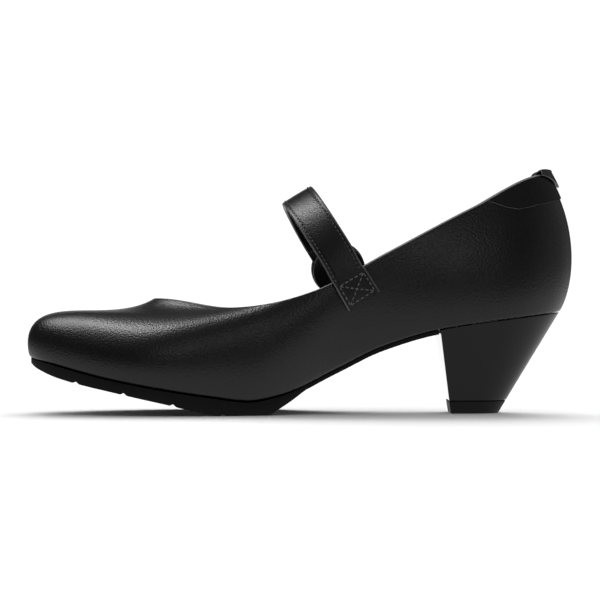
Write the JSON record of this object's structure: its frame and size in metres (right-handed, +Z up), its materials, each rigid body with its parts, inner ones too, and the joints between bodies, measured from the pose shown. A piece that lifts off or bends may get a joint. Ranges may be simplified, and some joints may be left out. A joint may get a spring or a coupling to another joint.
{
  "type": "tap shoe",
  "caption": "Right character tap shoe: round-toed black court pump with one instep strap on a hook-and-loop tab and a tapered block heel.",
  "frame": {"origin": "on the floor, under the middle of the shoe's box", "axes": "+Z up, +X towards the heel, -X towards the toe, -Y the inner (medial) side, +Y the outer (lateral) side"},
  "size_m": [0.2392, 0.081, 0.1066],
  "materials": {
    "upper_leather": "satin",
    "lining_leather": "matte",
    "stiffener": "matte",
    "fibreboard": "matte",
    "foam": "matte",
    "sole_rubber": "matte",
    "heel_cover": "satin",
    "steel": "satin",
    "hook_and_loop": "matte"
  },
  "bodies": {
    "shoe": {"back_panel": "upper_leather", "bottom_filler": "foam", "fastening_ear": "upper_leather", "footbed_foam": "foam", "heel_block": "heel_cover", "heel_counter": "stiffener", "heel_nail_front_lateral": "steel", "heel_nail_front_medial": "steel", "heel_nail_rear_lateral": "steel", "heel_nail_rear_medial": "steel", "heel_screw": "steel", "heel_tab": "upper_leather", "heel_top_piece": "sole_rubber", "insole_board": "fibreboard", "lateral_interlining": "stiffener", "loop_patch": "hook_and_loop", "medial_interlining": "stiffener", "outsole": "sole_rubber", "quarter_lining": "lining_leather", "shank": "steel", "shank_rivet_front": "steel", "shank_rivet_rear": "steel", "sock_liner": "lining_leather", "strap_anchor_backing": "upper_leather", "strap_anchor_outer": "upper_leather", "toe_puff": "stiffener", "top_piece_pin_front": "steel", "top_piece_pin_rear": "steel", "upper_leather": "upper_leather", "vamp_lining": "lining_leather"},
    "strap": {"strap_backing": "upper_leather", "strap_outer": "upper_leather"},
    "strap_tab": {"strap_tab_backing": "upper_leather", "strap_tab_outer": "upper_leather", "hook_patch": "hook_and_loop"}
  },
  "joints": [
    {"name": "strap_swing", "type": "hinge", "parent": "shoe", "child": "strap", "pos_m": [0.02104, -0.03237, 0.06001], "axis": [0.8554, 0, 0.518], "range_deg": [0, 120]},
    {"name": "tab_peel", "type": "hinge", "parent": "strap", "child": "strap_tab", "pos_m": [0.0086, 0.03432, 0.07605], "axis": [0.8554, 0, 0.518], "range_deg": [0, 60]}
  ]
}
